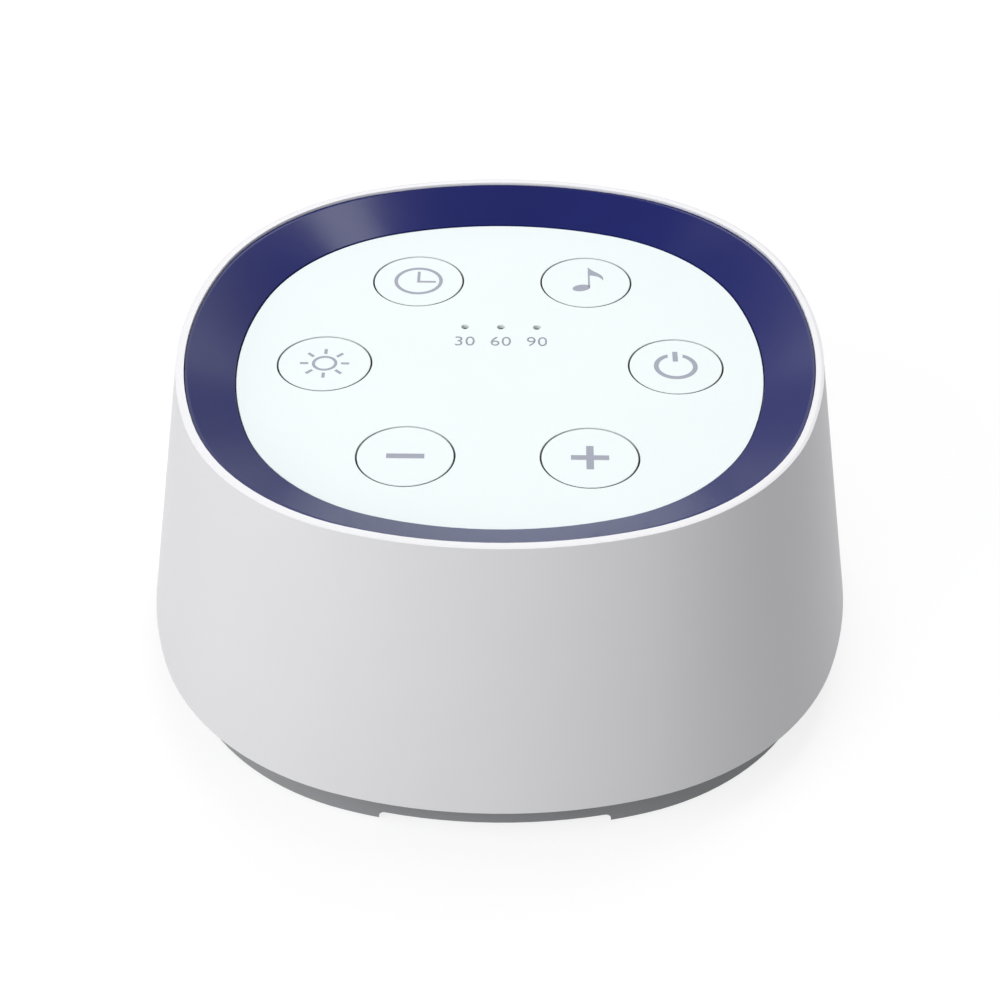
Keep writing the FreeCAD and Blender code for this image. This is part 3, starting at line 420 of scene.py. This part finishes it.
def smoothed(node, name, body, edge=0.0, crease=CREASE):
    """A merged copy of a solid with smooth curves and softly broken edges, in its place."""
    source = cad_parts[node]
    piece = bpy.data.objects.new(name, source.data.copy())
    bpy.context.scene.collection.objects.link(piece)
    select_only(piece)
    bpy.ops.object.mode_set(mode="EDIT")
    bpy.ops.mesh.select_all(action="SELECT")
    bpy.ops.mesh.remove_doubles(threshold=SAME_PLACE)
    bpy.ops.mesh.customdata_custom_splitnormals_clear()
    bpy.ops.mesh.tris_convert_to_quads(face_threshold=NEARLY_FLAT, shape_threshold=ANY_SHAPE)
    if edge:
        bpy.ops.mesh.dissolve_limited(angle_limit=IN_PLANE)
    bpy.ops.object.mode_set(mode="OBJECT")
    if edge:
        bevel = piece.modifiers.new("edges", "BEVEL")
        bevel.width = edge
        bevel.segments = 2
        bevel.limit_method = "ANGLE"
        bevel.angle_limit = crease
        bpy.ops.object.modifier_apply(modifier=bevel.name)
    bpy.ops.object.shade_smooth_by_angle(angle=crease)
    if edge:
        flat = piece.modifiers.new("flat_faces", "WEIGHTED_NORMAL")
        flat.keep_sharp = True
        bpy.ops.object.modifier_apply(modifier=flat.name)
    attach(piece, body)
    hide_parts(node)
    return piece


def at_origin(piece):
    """Moves a piece's place into its mesh."""
    select_only(piece)
    bpy.ops.object.transform_apply(location=True, rotation=True, scale=True)
    return piece


def joined(pieces, name):
    """Several meshes as one piece."""
    select_only(pieces[0])
    for piece in pieces[1:]:
        piece.select_set(True)
    if len(pieces) > 1:
        bpy.ops.object.join()
    piece = bpy.context.object
    piece.name = name
    return piece


def flat_bar(length, width, place, turn=0.0):
    """A flat bar of print around a place, turned about the upright axis."""
    bpy.ops.object.select_all(action="DESELECT")
    bpy.ops.mesh.primitive_plane_add(size=1, location=(*place, 0), rotation=(0, 0, turn))
    bar = bpy.context.object
    bar.scale = (length, width, 1)
    return at_origin(bar)


def flat_ring(outside, stroke, vertices=96):
    """A flat ring of print around the origin."""
    bpy.ops.object.select_all(action="DESELECT")
    bpy.ops.mesh.primitive_circle_add(vertices=vertices, radius=outside, fill_type="NGON")
    ring = bpy.context.object
    bpy.ops.object.mode_set(mode="EDIT")
    bpy.ops.mesh.select_all(action="SELECT")
    bpy.ops.mesh.inset(thickness=stroke, depth=0)
    bpy.ops.mesh.delete(type="FACE")
    bpy.ops.object.mode_set(mode="OBJECT")
    return ring


def flat_shape(points, name):
    """A flat shape inside a closed line through points in millimetres."""
    curve = bpy.data.curves.new(name, "CURVE")
    curve.dimensions = "2D"
    curve.fill_mode = "BOTH"
    spline = curve.splines.new("POLY")
    spline.points.add(len(points) - 1)
    for point, (x, y) in zip(spline.points, points):
        point.co = (x * MM, y * MM, 0, 1)
    spline.use_cyclic_u = True
    shape = bpy.data.objects.new(name, curve)
    bpy.context.scene.collection.objects.link(shape)
    select_only(shape)
    bpy.ops.object.convert(target="MESH")
    return bpy.context.object


def printed(pieces, name, place, body, material, thickness):
    """Joins flat shapes, gives them the ink's thickness and lays them on their surface."""
    sign = joined(pieces, name)
    bpy.ops.object.mode_set(mode="EDIT")
    bpy.ops.mesh.select_all(action="SELECT")
    bpy.ops.mesh.remove_doubles(threshold=SAME_PLACE_IN_PRINT)
    bpy.ops.mesh.normals_make_consistent(inside=False)
    bpy.ops.object.mode_set(mode="OBJECT")
    if sum(face.normal.z for face in sign.data.polygons) < 0:
        sign.data.flip_normals()
    solid = sign.modifiers.new("ink", "SOLIDIFY")
    solid.thickness = thickness
    solid.offset = 1.0
    bpy.ops.object.modifier_apply(modifier=solid.name)
    sign.location = place
    at_origin(sign)
    give(sign, material)
    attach(sign, body)


# ---------------------------------------------------------------- signs


def clock_sign():
    """A clock face with its hands up and to the right."""
    hand = 0.48 * MM
    return [flat_ring(4.05 * MM, 0.58 * MM),
            flat_bar(hand, 2.8 * MM, (0, 1.4 * MM)),
            flat_bar(2.9 * MM + hand / 2, hand, (1.45 * MM - hand / 4, -hand / 2))]


def note_sign():
    """An eighth note: tilted head, stem and flag."""
    bpy.ops.object.select_all(action="DESELECT")
    bpy.ops.mesh.primitive_circle_add(vertices=64, radius=MM, fill_type="NGON",
                                      location=(-0.78 * MM, -1.72 * MM, 0),
                                      rotation=(0, 0, math.radians(17)))
    head = bpy.context.object
    head.scale = (1.5, 0.93, 1)
    at_origin(head)
    stem = flat_shape([(0.36, -1.12), (0.66, -1.7), (0.66, 4.2), (0.46, 4.45), (0.36, 4.45)],
                      "stem")
    flag = flat_shape([(0.662, 4.2), (0.86, 3.86), (1.36, 3.36), (2.11, 2.72), (2.70, 2.02),
                       (2.93, 1.33), (2.86, 0.61), (2.70, 0.98), (2.38, 1.44), (1.87, 1.84),
                       (1.22, 2.06), (0.662, 2.14)], "flag")
    return [head, stem, flag]


def sun_sign():
    """A sun: a ring with eight rays."""
    middle = 3.28 * MM
    parts = [flat_ring(2.02 * MM, 0.48 * MM)]
    for index in range(8):
        turn = index * math.tau / 8
        parts.append(flat_bar(1.32 * MM, 0.5 * MM,
                              (middle * math.cos(turn), middle * math.sin(turn)), turn))
    return parts


def power_sign():
    """A ring that is open at the top, with an upright bar in its gap."""
    gap, slack = 1.23 * MM, 0.01 * MM
    ring = flat_ring(3.49 * MM, 0.76 * MM, 144)
    bpy.ops.object.mode_set(mode="EDIT")
    for edge in (-gap, gap):
        bpy.ops.mesh.select_all(action="SELECT")
        bpy.ops.mesh.bisect(plane_co=(edge, 0, 0), plane_no=(1, 0, 0))
    pick_vertices(ring, lambda place: abs(place.x) < gap + slack and place.y > 0)
    bpy.ops.mesh.delete(type="FACE")
    bpy.ops.object.mode_set(mode="OBJECT")
    return [ring, flat_bar(0.82 * MM, 2.65 * MM, (0, 2.69 * MM))]


def minus_sign():
    """A level bar."""
    return [flat_bar(5.78 * MM, 1.12 * MM, (0, 0))]


def plus_sign():
    """Two crossed bars."""
    reach, half = 2.89, 0.56
    return [flat_shape([(half, half), (half, reach), (-half, reach), (-half, half), (-reach, half),
                        (-reach, -half), (-half, -half), (-half, -reach), (half, -reach),
                        (half, -half), (reach, -half), (reach, half)], "plus")]


SIGNS = {"power": power_sign, "sound": note_sign, "timer": clock_sign, "light": sun_sign,
         "volume_down": minus_sign, "volume_up": plus_sign}


# ---------------------------------------------------------------- stage helpers


def direction(right, up):
    """From the machine to a place at two angles, right of the front and above the floor."""
    return Vector((math.sin(right) * math.cos(up), -math.cos(right) * math.cos(up), math.sin(up)))


def look_back(piece, towards):
    """Turns a lamp or camera that stands in a direction to look the other way."""
    piece.rotation_euler = (-towards).to_track_quat("-Z", "Y").to_euler()


# ---------------------------------------------------------------- operators


class SOUNDMACHINE_OT_housing(bpy.types.Operator):
    """Dress the tapered white housing"""

    bl_idname = "soundmachine.housing"
    bl_label = "Housing"

    def execute(self, context):
        finish = context.scene.sound_machine_finish
        shell = smoothed("housing", "housing_shell", "machine")
        pick_vertices(shell, lambda place: abs(RIM_TOP - place.z - RIM_CHAMFER) < RIM_SLACK)
        narrower = 1 - finish.rim_fill * WALL_LEAN
        bpy.ops.transform.translate(value=(0, 0, finish.rim_fill))
        bpy.ops.transform.resize(value=(narrower, narrower, 1), center_override=(0, 0, 0))
        bpy.ops.object.mode_set(mode="OBJECT")
        white = moulded_plastic("satin_white", tuple(finish.shell_colour), roughness=0.42,
                                grain=finish.grain, depth=0.004 * MM, tone=0.015)
        give(shell, white)
        return {"FINISHED"}


class SOUNDMACHINE_OT_trim_ring(bpy.types.Operator):
    """Dress the navy ring"""

    bl_idname = "soundmachine.trim_ring"
    bl_label = "Trim ring"

    def execute(self, context):
        finish = context.scene.sound_machine_finish
        navy = moulded_plastic("satin_navy", tuple(finish.ring_colour), roughness=0.18,
                               grain=finish.grain, depth=0.0015 * MM, tone=0.08, specular=0.14)
        give(smoothed("trim_ring", "sloping_ring", "machine", crease=RING_CREASE), navy)
        return {"FINISHED"}


class SOUNDMACHINE_OT_panel(bpy.types.Operator):
    """Dress the control panel, the six buttons and what lies under them"""

    bl_idname = "soundmachine.panel"
    bl_label = "Panel and buttons"

    def execute(self, context):
        finish = context.scene.sound_machine_finish
        white = moulded_plastic("cool_white", tuple(finish.panel_colour), roughness=0.45,
                                grain=finish.grain, depth=0.003 * MM, tone=0.012)
        # Painted shade for the gaps around the buttons, put on the sides of their caps
        gap_shade = moulded_plastic("grey_flank", tuple(finish.flank_colour), roughness=0.6,
                                grain=finish.grain, depth=0.003 * MM)
        nylon = moulded_plastic("plunger_nylon", (0.62, 0.60, 0.52), roughness=0.35,
                                grain=0.2 * MM, depth=0.003 * MM)
        give(smoothed("control_panel", "panel_face", "machine"), white)
        for key in SIGNS:
            cap = smoothed(f"{key}_button", f"{key}_cap", f"{key}_key", edge=0.1 * MM)
            give(cap, white)
            # Faces lower than the given depth under the top get the painted gap shade
            cap.data.materials.append(gap_shade)
            for face in cap.data.polygons:
                face.material_index = int(PANEL_TOP - face.center.z > finish.coat)
            painted(f"{key}_plunger", nylon)
        painted("light_guide", clear_plastic("smoky_guide", (0.14, 0.15, 0.15)))
        return {"FINISHED"}


class SOUNDMACHINE_OT_print(bpy.types.Operator):
    """Print the six signs on the buttons and the numbers under the timer lights"""

    bl_idname = "soundmachine.print"
    bl_label = "Signs and numbers"

    def execute(self, context):
        finish = context.scene.sound_machine_finish
        sizes = context.scene.sound_machine_print
        ink = printed_ink("grey_ink", tuple(finish.print_colour))
        for key, sign in SIGNS.items():
            low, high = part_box(f"{key}_plunger")
            middle = (low + high) / 2
            place = Vector((middle.x, middle.y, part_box(f"{key}_button")[1].z))
            printed(sign(), f"{key}_sign", place, f"{key}_key", ink, sizes.thickness)
        for index, number in enumerate((30, 60, 90)):
            bpy.ops.object.select_all(action="DESELECT")
            bpy.ops.object.text_add()
            text = bpy.context.object
            text.data.body = str(number)
            text.data.align_x = "CENTER"
            text.data.resolution_u = 6
            text.data.size = sizes.digit_height / DIGIT_SHARE
            text.data.space_character = DIGIT_SPACING
            text.data.offset = -STROKE_TRIM
            bpy.ops.object.convert(target="MESH")
            digits = bpy.context.object
            heights = [vertex.co.y for vertex in digits.data.vertices]
            digits.scale = (1.0, sizes.digit_height / (max(heights) - min(heights)), 1.0)
            at_origin(digits)
            foot = min(vertex.co.y for vertex in digits.data.vertices)
            place = Vector(((index - 1) * sizes.digit_pitch, sizes.digit_row - foot, PANEL_TOP))
            printed([digits], f"minutes_{number}", place, "machine", ink, sizes.thickness)
        return {"FINISHED"}


class SOUNDMACHINE_OT_base(bpy.types.Operator):
    """Dress the grey base, its rubber feet and its screws"""

    bl_idname = "soundmachine.base"
    bl_label = "Base, feet and screws"

    def execute(self, context):
        finish = context.scene.sound_machine_finish
        grey = moulded_plastic("grained_grey", tuple(finish.base_colour), roughness=0.5,
                               grain=finish.grain, depth=0.008 * MM, tone=0.06)
        give(smoothed("base", "grey_base", "machine"), grey)
        give(smoothed("rubber_feet", "rubber_discs", "machine", edge=0.25 * MM),
             soft_rubber("foot_rubber", (0.035, 0.035, 0.04)))
        screws = smoothed("base_screws", "cross_head_screws", "machine")
        cutters = []
        for right in (-1, 1):
            for back in (-1, 1):
                near = [vertex.co for vertex in screws.data.vertices
                        if vertex.co.x * right > 0 and vertex.co.y * back > 0]
                foot = min(co.z for co in near)
                middle = [(min(values) + max(values)) / 2
                          for values in ([co.x for co in near], [co.y for co in near])]
                for turn in (CROSS_TURN, CROSS_TURN + math.pi / 2):
                    bpy.ops.object.select_all(action="DESELECT")
                    bpy.ops.mesh.primitive_cube_add(size=1, location=(*middle, foot),
                                                    rotation=(0, 0, turn))
                    bar = bpy.context.object
                    bar.scale = (finish.cross_length, finish.cross_width, finish.cross_width * 2)
                    cutters.append(at_origin(bar))
        for cutter in cutters:
            select_only(screws)
            cut = screws.modifiers.new("cross", "BOOLEAN")
            cut.operation = "DIFFERENCE"
            cut.solver = "EXACT"
            cut.object = cutter
            bpy.ops.object.modifier_apply(modifier=cut.name)
            bpy.data.objects.remove(cutter)
        give(screws, metal("zinc", (0.62, 0.63, 0.65), roughness=0.32))
        return {"FINISHED"}


class SOUNDMACHINE_OT_loudspeaker(bpy.types.Operator):
    """Dress the loudspeaker"""

    bl_idname = "soundmachine.loudspeaker"
    bl_label = "Loudspeaker"

    def execute(self, context):
        steel = metal("plated_steel", (0.55, 0.55, 0.57), roughness=0.35)
        paper = pressed_paper("black_paper", (0.022, 0.022, 0.024))
        painted("speaker_surround", soft_rubber("surround_rubber", (0.02, 0.02, 0.022)))
        painted("speaker_basket", moulded_plastic("black_paint", (0.025, 0.025, 0.028),
                                                  roughness=0.4, grain=0.4 * MM, depth=0.006 * MM))
        painted("speaker_top_plate", steel)
        painted("speaker_yoke", steel)
        painted("speaker_magnet", moulded_plastic("ferrite", (0.045, 0.045, 0.05),
                                                  roughness=0.6, grain=0.3 * MM, depth=0.01 * MM))
        give(smoothed("speaker_cone", "paper_cone", "cone"), paper)
        give(smoothed("speaker_dust_cap", "paper_dust_cap", "cone"), paper)
        painted("speaker_voice_coil", metal("copper_winding", (0.75, 0.33, 0.17), roughness=0.3,
                                            streak=0.2 * MM))
        painted("speaker_terminal", moulded_plastic("brown_laminate", (0.16, 0.07, 0.03),
                                                    roughness=0.45, grain=0.4 * MM,
                                                    depth=0.006 * MM))
        painted("speaker_lead", soft_rubber("speaker_wire", (0.16, 0.012, 0.012)))
        painted("power_lead", soft_rubber("power_wire", (0.05, 0.01, 0.01)))
        return {"FINISHED"}


class SOUNDMACHINE_OT_electronics(bpy.types.Operator):
    """Dress the circuit boards and what is on them, and the power socket"""

    bl_idname = "soundmachine.electronics"
    bl_label = "Electronics and power inlet"

    def execute(self, context):
        board = circuit_board("green_board")
        for node in ("control_board", "inlet_board"):
            painted(node, board)
        black = moulded_plastic("black_moulding", (0.018, 0.018, 0.02), roughness=0.5,
                                grain=0.2 * MM, depth=0.005 * MM)
        for node in ("sound_chip", "amplifier_chip", "button_switches"):
            painted(node, black)
        nylon = moulded_plastic("ivory_nylon", (0.66, 0.63, 0.54), roughness=0.42,
                                grain=0.3 * MM, depth=0.004 * MM)
        for node in ("power_connector", "speaker_connector"):
            painted(node, nylon)
        painted("capacitor", metal("aluminium_can", (0.66, 0.67, 0.69), roughness=0.3))
        painted("timer_leds", clear_plastic("timer_light", (0.75, 0.82, 0.6)))
        painted("night_light_leds", clear_plastic("night_light", (0.9, 0.72, 0.2)))
        painted("power_socket", metal("bright_shell", (0.72, 0.72, 0.74), roughness=0.2))
        return {"FINISHED"}


class SOUNDMACHINE_OT_stage(bpy.types.Operator):
    """Set the pale floor, the room and the lamps"""

    bl_idname = "soundmachine.stage"
    bl_label = "Floor and light"

    def execute(self, context):
        stage = context.scene.sound_machine_stage
        bpy.ops.object.select_all(action="DESELECT")
        bpy.ops.mesh.primitive_plane_add(size=FLOOR_SIZE, location=(0, 0, 0))
        floor = bpy.context.object
        floor.name = "floor"
        material, nodes, links, shader = new_material("pale_floor")
        shader.inputs["Base Color"].default_value = FLOOR_COLOUR
        shader.inputs["Roughness"].default_value = 0.9
        shader.inputs["Specular IOR Level"].default_value = 0.0
        shine = nodes.new("ShaderNodeEmission")
        strength = nodes.new("ShaderNodeMath")
        strength.operation = "MULTIPLY"
        strength.inputs[1].default_value = FLOOR_SHINE
        links.new(background_rays(nodes, links), strength.inputs[0])
        links.new(strength.outputs[0], shine.inputs["Strength"])
        both = nodes.new("ShaderNodeAddShader")
        links.new(shader.outputs[0], both.inputs[0])
        links.new(shine.outputs[0], both.inputs[1])
        clear = nodes.new("ShaderNodeBsdfTransparent")
        side = nodes.new("ShaderNodeNewGeometry")
        from_above = nodes.new("ShaderNodeMixShader")
        links.new(side.outputs["Backfacing"], from_above.inputs[0])
        links.new(both.outputs[0], from_above.inputs[1])
        links.new(clear.outputs[0], from_above.inputs[2])
        links.new(from_above.outputs[0], nodes["Material Output"].inputs["Surface"])
        floor.data.materials.append(material)

        world = bpy.data.worlds.new("room")
        context.scene.world = world
        world.use_nodes = True
        nodes, links = world.node_tree.nodes, world.node_tree.links
        background = nodes["Background"]
        background.inputs["Color"].default_value = (0.98, 0.985, 1.0, 1)
        background.inputs["Strength"].default_value = stage.room
        white = nodes.new("ShaderNodeBackground")
        white.inputs["Color"].default_value = (1, 1, 1, 1)
        white.inputs["Strength"].default_value = 1.0
        choose = nodes.new("ShaderNodeMixShader")
        links.new(background_rays(nodes, links), choose.inputs[0])
        links.new(background.outputs[0], choose.inputs[1])
        links.new(white.outputs[0], choose.inputs[2])
        links.new(choose.outputs[0], nodes["World Output"].inputs["Surface"])

        for name, power, size, right, height, away in LAMPS:
            towards = direction(math.radians(right), math.radians(height))
            bpy.ops.object.light_add(type="AREA", location=towards * away)
            lamp = bpy.context.object
            lamp.name = name
            lamp.data.energy = getattr(stage, power)
            lamp.data.size = size
            look_back(lamp, towards)
        context.scene.view_settings.view_transform = "Standard"
        return {"FINISHED"}


class SOUNDMACHINE_OT_camera(bpy.types.Operator):
    """Set the camera at the photograph's angle"""

    bl_idname = "soundmachine.camera"
    bl_label = "Camera"

    def execute(self, context):
        stage = context.scene.sound_machine_stage
        aim = Vector((0, 0, PANEL_TOP - stage.aim_below_panel))
        towards = direction(stage.azimuth, stage.elevation)
        bpy.ops.object.camera_add(location=aim + towards * stage.distance)
        camera = bpy.context.object
        camera.name = "photograph_camera"
        look_back(camera, towards)
        camera.data.sensor_width = 36
        camera.data.lens = stage.lens
        camera.data.clip_start = 0.01
        context.scene.camera = camera
        return {"FINISHED"}


OPERATORS = (SOUNDMACHINE_OT_housing, SOUNDMACHINE_OT_trim_ring, SOUNDMACHINE_OT_panel,
             SOUNDMACHINE_OT_print, SOUNDMACHINE_OT_base, SOUNDMACHINE_OT_loudspeaker,
             SOUNDMACHINE_OT_electronics, SOUNDMACHINE_OT_stage, SOUNDMACHINE_OT_camera)
SETTINGS = {"sound_machine_finish": FinishSettings, "sound_machine_print": PrintSettings,
            "sound_machine_stage": StageSettings}


class SOUNDMACHINE_PT_panel(bpy.types.Panel):
    """Lists the steps and the settings"""

    bl_idname = "SOUNDMACHINE_PT_panel"
    bl_label = "Sound Machine"
    bl_space_type = "VIEW_3D"
    bl_region_type = "UI"
    bl_category = "Sound Machine"

    def draw(self, context):
        for operator in OPERATORS:
            self.layout.operator(operator.bl_idname)
        for name, group in SETTINGS.items():
            column = self.layout.box().column()
            for setting in group.__annotations__:
                column.prop(getattr(context.scene, name), setting)


def register():
    """Registers the settings, the operators and the panel."""
    for group in SETTINGS.values():
        bpy.utils.register_class(group)
    for name, group in SETTINGS.items():
        setattr(bpy.types.Scene, name, bpy.props.PointerProperty(type=group))
    for operator in OPERATORS:
        bpy.utils.register_class(operator)
    bpy.utils.register_class(SOUNDMACHINE_PT_panel)


def unregister():
    """Takes everything out again."""
    bpy.utils.unregister_class(SOUNDMACHINE_PT_panel)
    for operator in reversed(OPERATORS):
        bpy.utils.unregister_class(operator)
    for name, group in SETTINGS.items():
        delattr(bpy.types.Scene, name)
        bpy.utils.unregister_class(group)


def main():
    """Runs every step in order."""
    register()
    bpy.ops.soundmachine.housing()
    bpy.ops.soundmachine.trim_ring()
    bpy.ops.soundmachine.panel()
    bpy.ops.soundmachine.print()
    bpy.ops.soundmachine.base()
    bpy.ops.soundmachine.loudspeaker()
    bpy.ops.soundmachine.electronics()
    bpy.ops.soundmachine.stage()
    bpy.ops.soundmachine.camera()


if __name__ == "__main__":
    main()
